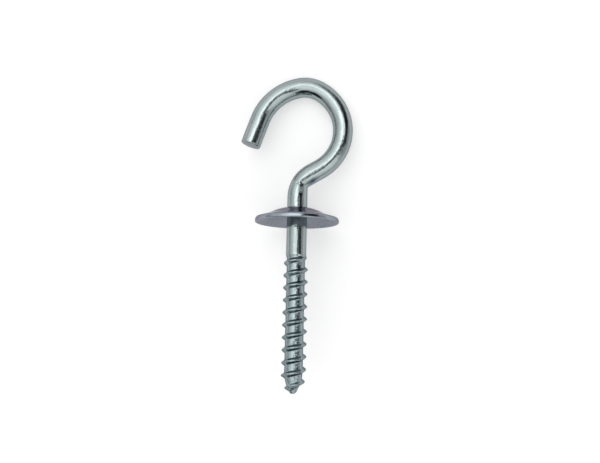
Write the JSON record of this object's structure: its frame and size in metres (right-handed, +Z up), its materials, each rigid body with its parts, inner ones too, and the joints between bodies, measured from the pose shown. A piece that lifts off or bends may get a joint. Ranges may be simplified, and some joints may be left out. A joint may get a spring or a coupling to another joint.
{
  "type": "screw hook",
  "caption": "Zinc-plated steel wire bent to an open round hook, with a rolled wood-screw thread and a pressed domed collar on its shank.",
  "frame": {"origin": "middle of the lying hook's outline seen from above, on the surface it lies on", "axes": "+Z up from that surface; +Y along the hook from the screw's point to the round bend; +X away from the open mouth"},
  "size_m": [0.0268, 0.0738, 0.0204],
  "materials": {
    "zinc_plate": "bright zinc plate on drawn and pressed steel, with light tool marks"
  },
  "bodies": {
    "root": {"hook": "zinc_plate", "collar": "zinc_plate"}
  },
  "joints": []
}
